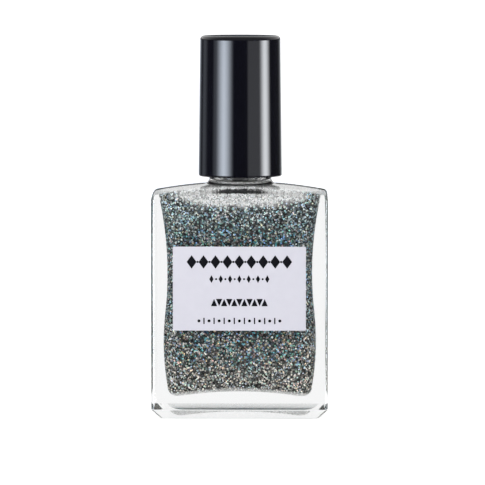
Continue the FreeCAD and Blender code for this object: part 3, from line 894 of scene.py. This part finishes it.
def flake_hues(paint, tint, across, height, forwards):
    """The flakes' tints, greyed near the floor, near the top and towards the sides."""
    low = paint.fade(height, 0.6, 0.0, *DULL_FLOOR)
    high = paint.fade(height, 0.0, 0.5, *DULL_TOP)
    aside = paint.fade(paint.maths("ABSOLUTE", across), 0.0, 0.6, *DULL_SIDES)
    aside = paint.maths("MULTIPLY", aside, paint.maths("ABSOLUTE", forwards))
    dull = paint.maths("MAXIMUM", paint.maths("MAXIMUM", low, high), aside)
    return paint.mixed(dull, paint.ramp(tint, FLAKE_HUES, "CONSTANT"), DULL_HUE)


def painted_light_level(paint, across, height):
    """The height, let wander and sag so that the bands of painted light and shade don't run
    straight.
    """
    drift = paint.spread(paint.noise(5 * MM), -BAND_DRIFT, BAND_DRIFT)
    square = paint.maths("POWER", paint.maths("ABSOLUTE", across), 2.0)
    sag = paint.maths("MULTIPLY", square, BAND_SAG)
    return paint.maths("ADD", paint.maths("ADD", height, drift), sag)


def painted_collar_shadow(paint, height):
    """How dark the painted shadow of the collar makes the lacquer, in a ragged patch under it."""
    flat = paint.vector("MULTIPLY", paint.place(), (1, 0.5, 0))
    reach = paint.node("ShaderNodeVectorMath", {0: flat}, operation="LENGTH").outputs["Value"]
    ragged = paint.spread(paint.noise(0.45 * MM), -1.0, 1.0)
    reach = paint.maths("ADD", reach, paint.maths("MULTIPLY", ragged, RAGGED_REACH))
    inner = paint.fade(reach, 1.0, 0.0, *THROAT_SIDES)
    brink = paint.maths("ADD", height, paint.maths("MULTIPLY", ragged, RAGGED_BRINK))
    over = paint.fade(brink, 0.0, 0.97, *THROAT_FOOT)
    under = paint.fade(height, 1.0, 0.0, *THROAT_HEAD)
    return paint.maths("MULTIPLY", inner, paint.maths("MULTIPLY", over, under))


def lacquer_material():
    """Grey lacquer packed with holographic glitter: each flake has a tint and a lean of its own.
    Light and shade are painted into its colour: bands by height, a pale top, pale level faces,
    glints and the collar's shadow.
    """
    paint = Shader("glitter_lacquer", IOR=1.5)
    flakes = paint.flakes()
    chance, shade, tint = paint.node("ShaderNodeSeparateColor", {0: flakes}).outputs
    across, _, height = paint.parts(paint.place())
    facing = paint.node("ShaderNodeNewGeometry").outputs["Normal"]
    _, forwards, tilt = paint.parts(facing)
    colour = flake_hues(paint, tint, across, height, forwards)

    # painted light and shade: the lacquer's tone by height, its bands let wander and sag towards
    # the sides
    level = painted_light_level(paint, across, height)
    tone = paint.ramp(paint.spread(level, 0, 1, FLOOR_LEVEL - 1.5 * MM, CEILING), LACQUER_LIGHT_BY_HEIGHT)
    cloud = paint.spread(paint.noise(4 * MM), 0.7, 1.3)
    # painted glints: a few flakes made far brighter than the rest, as if they caught the light
    lit = paint.spread(paint.maths("POWER", shade, 4.0), 0.02, 5.0)
    lit = paint.grey(paint.maths("MULTIPLY", lit, cloud))
    tinted = paint.mixed(1.0, paint.mixed(1.0, colour, lit, "MULTIPLY"), tone, "MULTIPLY")

    # painted light: a pale silver band near the top stands for the light that comes down through
    # the shoulder
    silver = paint.grey(paint.spread(paint.maths("POWER", shade, 0.9), 0.34, 1.4))
    silver = paint.mixed(0.12, silver, colour, "MULTIPLY")
    painted_top_light = paint.fade(level, 0.0, 0.92, *TOP_LIGHT_EDGE)
    tinted = paint.mixed(painted_top_light, tinted, silver)
    # painted light: faces that lie level are made pale silver
    painted_face_light = paint.fade(paint.maths("ABSOLUTE", tilt), 0.0, 0.8, *LIT_FACE_TILT)
    tinted = paint.mixed(painted_face_light, tinted, paint.mixed(0.45, silver, PAINTED_PALE_SILVER))
    # painted shadow under the collar
    tinted = paint.mixed(painted_collar_shadow(paint, height), tinted, THROAT_PAINTED_SHADOW)
    paint.set("Base Color", tinted)

    # the flakes are less metallic inside the painted light band at the top
    metallic = paint.spread(chance, 0.0, 0.9, 0.55, 0.75)
    paint.set("Metallic", paint.maths("MULTIPLY", metallic, paint.maths("SUBTRACT", 1.0, painted_top_light)))
    paint.set("Roughness", paint.spread(shade, 0.28, 0.5))
    lean = paint.scaled(paint.vector("SUBTRACT", flakes, (0.5, 0.5, 0.5)), FLAKE_LEAN)
    paint.set("Normal", paint.vector("NORMALIZE", paint.vector("ADD", facing, lean)))
    return paint


def paper_material():
    """Matt coated paper, faintly lavender, with a fine tooth and mottling."""
    paper = Shader("label_paper")
    mottle = paper.spread(paper.noise(1.6 * MM, detail=4), 0.0, 1.0, 0.3, 0.7)
    paper.set("Base Color", paper.mixed(mottle, (0.625, 0.62, 0.69), (0.645, 0.64, 0.71)))
    fibres = paper.noise(0.14 * MM, detail=5, roughness=0.7)
    paper.set("Roughness", paper.spread(fibres, 0.5, 0.72))
    paper.set("Normal", paper.bump(fibres, 0.25, 0.01 * MM))
    return paper


def ink_material():
    """Black print that takes up the tooth of the paper."""
    ink = Shader("label_ink")
    tooth = ink.noise(0.12 * MM, detail=4, roughness=0.7)
    ink.set("Base Color", ink.mixed(tooth, (0.004, 0.004, 0.006), (0.010, 0.010, 0.013)))
    ink.set("Roughness", ink.spread(tooth, 0.6, 0.8))
    ink.set("Specular IOR Level", 0.06)
    return ink


def plastic(name, dark, pale, rough, grain, relief):
    """Moulded plastic: a slight mottling, a varying gloss and a fine grain."""
    made = Shader(name)
    mottle = made.noise(2.5 * MM, detail=4)
    made.set("Base Color", made.mixed(mottle, dark, pale))
    made.set("Roughness", made.spread(mottle, rough[0], rough[1]))
    fine = made.noise(grain, detail=3)
    made.set("Normal", made.bump(fine, relief, 0.02 * MM))
    return made


def stem_material():
    """Black plastic above, wet glitter lacquer where the stem has stood in the bottle."""
    made = Shader("wet_stem")
    height = made.parts(made.place())[2]
    edge = made.spread(made.noise(1.5 * MM, detail=4), -1.2 * MM, 1.2 * MM)
    wet = made.spread(made.maths("ADD", height, edge), 1, 0, FILL_LEVEL - 0.5 * MM, FILL_LEVEL)
    film = made.mixed(0.6, (0.22, 0.24, 0.25), made.flakes(), "SOFT_LIGHT")
    made.set("Base Color", made.mixed(wet, (0.012, 0.012, 0.014), film))
    made.set("Roughness", made.spread(wet, 0.32, 0.14))
    made.set("Metallic", made.spread(wet, 0.0, 0.45))
    return made


def metal(name, colour, rough, streak):
    """Bare metal with fine drawn or tumbled marks."""
    made = Shader(name, Metallic=1.0)
    marks = made.noise(streak, detail=5, roughness=0.65)
    pale = tuple(min(1.0, c * 1.08) for c in colour)
    made.set("Base Color", made.mixed(marks, colour, pale))
    made.set("Roughness", made.spread(marks, rough[0], rough[1]))
    made.set("Normal", made.bump(marks, 0.15, 0.005 * MM))
    return made


# ---- the object --------------------------------------------------------------------------

lacquer = lacquer_material()
cap_gloss = plastic(
    "gloss_black", dark=(0.0021, 0.0021, 0.0048), pale=(0.0032, 0.0032, 0.0066),
    rough=(0.05, 0.10), grain=0.9 * MM, relief=0.03,
)
nylon = plastic(
    "nylon", dark=(0.010, 0.010, 0.011), pale=(0.03, 0.03, 0.032),
    rough=(0.3, 0.5), grain=0.1 * MM, relief=0.2,
)
closure_plastic = plastic(
    "closure_black", dark=(0.012, 0.012, 0.013), pale=(0.022, 0.022, 0.024),
    rough=(0.38, 0.52), grain=0.25 * MM, relief=0.2,
)
foam = plastic(
    "liner_foam", dark=(0.68, 0.68, 0.65), pale=(0.8, 0.8, 0.77),
    rough=(0.7, 0.85), grain=0.18 * MM, relief=0.9,
)
brass = metal("brass_wire", (0.72, 0.53, 0.25), rough=(0.22, 0.38), streak=0.2 * MM)
steel = metal("steel_ball", (0.62, 0.62, 0.63), rough=(0.08, 0.2), streak=0.5 * MM)

dress(make_glass(), glass_material())
dress(make_lacquer(), lacquer)
dress(make_cap(), cap_gloss)
dress(make_bristles(), nylon)
dress(make_wet_coat(), lacquer)
dress(make_label_print(), ink_material())
dress(nodes["front_label"], paper_material())
dress(nodes["inner_cap"], closure_plastic)
dress(nodes["liner_washer"], foam)
dress(nodes["brush_stem"], stem_material())
dress(nodes["bristle_staple"], brass)
dress(nodes["mixing_ball_left"], steel)
dress(nodes["mixing_ball_right"], steel)

# ---- floor, light and camera -------------------------------------------------------------

# the camera's place and aim in metres, its lens and film in millimetres

CAMERA_PLACE = Vector((0.014, -0.80, 0.096))
AIM = Vector((0.00044, 0, 0.03442))
LENS = 297.7
FILM_WIDTH = 36.0
FAR_CLIP = 50.0

# the floor, and the even tone that the studio has when it is seen through the glass

FLOOR_SIDES = 96
FLOOR_RINGS = (0.3, 1.5, 6.0)
FLOOR_GLOW = 0.72
THROUGH_GLASS = 0.97

# what the gloss of the object mirrors, by degrees round from the camera's side

PANELS = [
    # centre, half width, half the width of its soft edge, radiance
    (-45, 14, 15, 14.0),
    (75, 11, 11, 15.5),
    (39, 17, 4, 1.0),
    (-119, 10, 8, 0.5),
    (-62, 18, 6, 1.0),
]
BACKDROP = (156, 22, 1.2)  # where it starts on either side, half of its soft edge, radiance
FILL = 0.07
LEFT_TINT = (0.80, 0.88, 1.0)
RIGHT_TINT = (0.93, 0.96, 1.0)

# dark cards at either side that only the glass shows, as a panel whose last number is its tone

BLACK_CARDS = (117, 22, 8, 0.30)

# directions by their height, from -1 straight down to 1 straight up, where the light changes

LOW_DIM = (-0.22, -0.08)
HORIZON = (0.008, 0.018)
UPPER_GLOSS = (0.085, 0.125)
OVERHEAD = (0.3, 0.6)

# the white that the camera sees behind the object

SEEN_WHITE = 1.02

SOFTBOXES = [
    # name, azimuth, width, height, radiance, distance
    ("left_box", -43, 0.26, 0.30, 11.0, 0.60),
    ("left_halo", -46, 0.50, 0.34, 2.2, 0.66),
    ("right_box", 74, 0.20, 0.30, 11.0, 0.60),
    ("right_halo", 50, 0.36, 0.34, 0.9, 0.66),
]
SOFTBOX_RISE = 0.03


def make_floor():
    """A pale disc that the bottle stands on, which the gloss doesn't mirror.

    Seen through the glass it has one even tone.
    """
    turns = [TAU * i / FLOOR_SIDES for i in range(FLOOR_SIDES)]
    rings = []
    for size in FLOOR_RINGS:
        rings.append([Vector((math.cos(a) * size, math.sin(a) * size, 0)) for a in turns])
    floor = loft("floor", rings, first=Vector((0, 0, 0)))
    pale = Shader("floor_white", Roughness=0.6)
    tone = pale.noise(0.4, detail=2)
    pale.set("Base Color", pale.mixed(tone, (0.78, 0.78, 0.78), (0.80, 0.80, 0.80)))
    pale.set("Emission Color", (1, 1, 1, 1))
    pale.set("Emission Strength", FLOOR_GLOW)
    even = pale.node("ShaderNodeEmission", {0: (1, 1, 1, 1), 1: THROUGH_GLASS}).outputs[0]
    through = pale.node("ShaderNodeLightPath").outputs["Is Transmission Ray"]
    chosen = pale.node("ShaderNodeMixShader", {0: through, 1: pale.shader.outputs[0], 2: even})
    pale.feed(pale.tree.nodes["Material Output"].inputs[0], chosen.outputs[0])
    dress(floor, pale)
    floor.visible_glossy = False


def panel(sky, angle, centre, half, soft, level, around=0.0):
    """A soft-edged upright panel as seen round the compass: level inside it, around outside."""
    away = sky.maths("ABSOLUTE", sky.maths("SUBTRACT", angle, float(centre)))
    return sky.fade(away, level, around, half - soft, half + soft)


def windows(sky, azimuth, turned, rise):
    """The backdrop and the soft panels, dimmer low down and cut off just above the horizon."""
    start, soft, radiance = BACKDROP
    shown = sky.fade(turned, FILL, radiance, start - soft, start + soft)
    for place in PANELS:
        shown = sky.maths("ADD", shown, panel(sky, azimuth, *place))
    share = sky.fade(rise, 0.24, 1.0, *LOW_DIM)
    share = sky.maths("MULTIPLY", share, sky.fade(rise, 1.0, 0.0, *HORIZON))
    shown = sky.grey(sky.maths("MULTIPLY", shown, share))
    side = sky.spread(azimuth, 0.0, 1.0, -10, 10)
    return sky.vector("MULTIPLY", shown, sky.mixed(side, LEFT_TINT, RIGHT_TINT))


def make_world():
    """The studio's light, which depends on the kind of ray that meets it.

    The camera sees white, and the glass shows near white with dark cards at its sides. Gloss
    mirrors the panels, and matt surfaces get more light from the back than from the front.
    """
    world = bpy.data.worlds.new("studio")
    bpy.context.scene.world = world
    world.use_nodes = True
    sky = Nodes(world.node_tree)
    across, back, rise = sky.parts(sky.node("ShaderNodeTexCoord").outputs["Generated"])
    turn = sky.maths("ARCTAN2", across, sky.maths("MULTIPLY", back, -1.0))
    azimuth = sky.spread(turn, -180, 180, -math.pi, math.pi)
    turned = sky.maths("ABSOLUTE", azimuth)

    above = sky.fade(rise, 0.0, 1.0, *UPPER_GLOSS)
    behind = sky.fade(back, 0.35, 1.0, -0.3, 0.6)
    gloss = sky.mixed(above, windows(sky, azimuth, turned, rise), behind)
    room = sky.fade(back, 0.09, 1.0, -0.1, 0.45)
    cards = panel(sky, turned, *BLACK_CARDS, around=THROUGH_GLASS)
    overhead = sky.fade(rise, 0.0, 1.0, *OVERHEAD)
    behind_glass = sky.mixed(overhead, cards, (THROUGH_GLASS,) * 3)

    paths = sky.node("ShaderNodeLightPath").outputs
    camera, glossy = paths["Is Camera Ray"], paths["Is Glossy Ray"]
    through = paths["Is Transmission Ray"]
    mirrored = sky.maths("SUBTRACT", glossy, through, clamp=True)
    lit = sky.mixed(through, sky.mixed(mirrored, room, gloss), behind_glass)
    background = sky.tree.nodes["Background"]
    sky.feed(background.inputs["Color"], sky.mixed(camera, lit, (SEEN_WHITE,) * 3))
    background.inputs["Strength"].default_value = 1.0


def add_softbox(name, azimuth, width, height, radiance, distance):
    """An upright area light, its azimuth counted from the camera's side towards +X."""
    light = bpy.data.lights.new(name, "AREA")
    light.shape = "RECTANGLE"
    light.size, light.size_y = width, height
    light.energy = radiance * math.pi * width * height
    made = bpy.data.objects.new(name, light)
    bpy.context.scene.collection.objects.link(made)
    angle = math.radians(azimuth)
    made.location = (distance * math.sin(angle), -distance * math.cos(angle), SOFTBOX_RISE)
    facing = Vector((0, 0, SOFTBOX_RISE)) - made.location
    made.rotation_euler = facing.to_track_quat("-Z", "Y").to_euler()
    made.visible_camera = False
    made.visible_glossy = False


def make_camera():
    """A long lens in front of the bottle, a little above it and to its right."""
    data = bpy.data.cameras.new("camera")
    data.lens = LENS
    data.sensor_width = FILM_WIDTH
    data.clip_end = FAR_CLIP
    camera = bpy.data.objects.new("camera", data)
    bpy.context.scene.collection.objects.link(camera)
    camera.location = CAMERA_PLACE
    camera.rotation_euler = (AIM - CAMERA_PLACE).to_track_quat("-Z", "Y").to_euler()
    bpy.context.scene.camera = camera


make_floor()
make_world()
for softbox in SOFTBOXES:
    add_softbox(*softbox)
make_camera()
bpy.context.scene.view_settings.view_transform = "Standard"
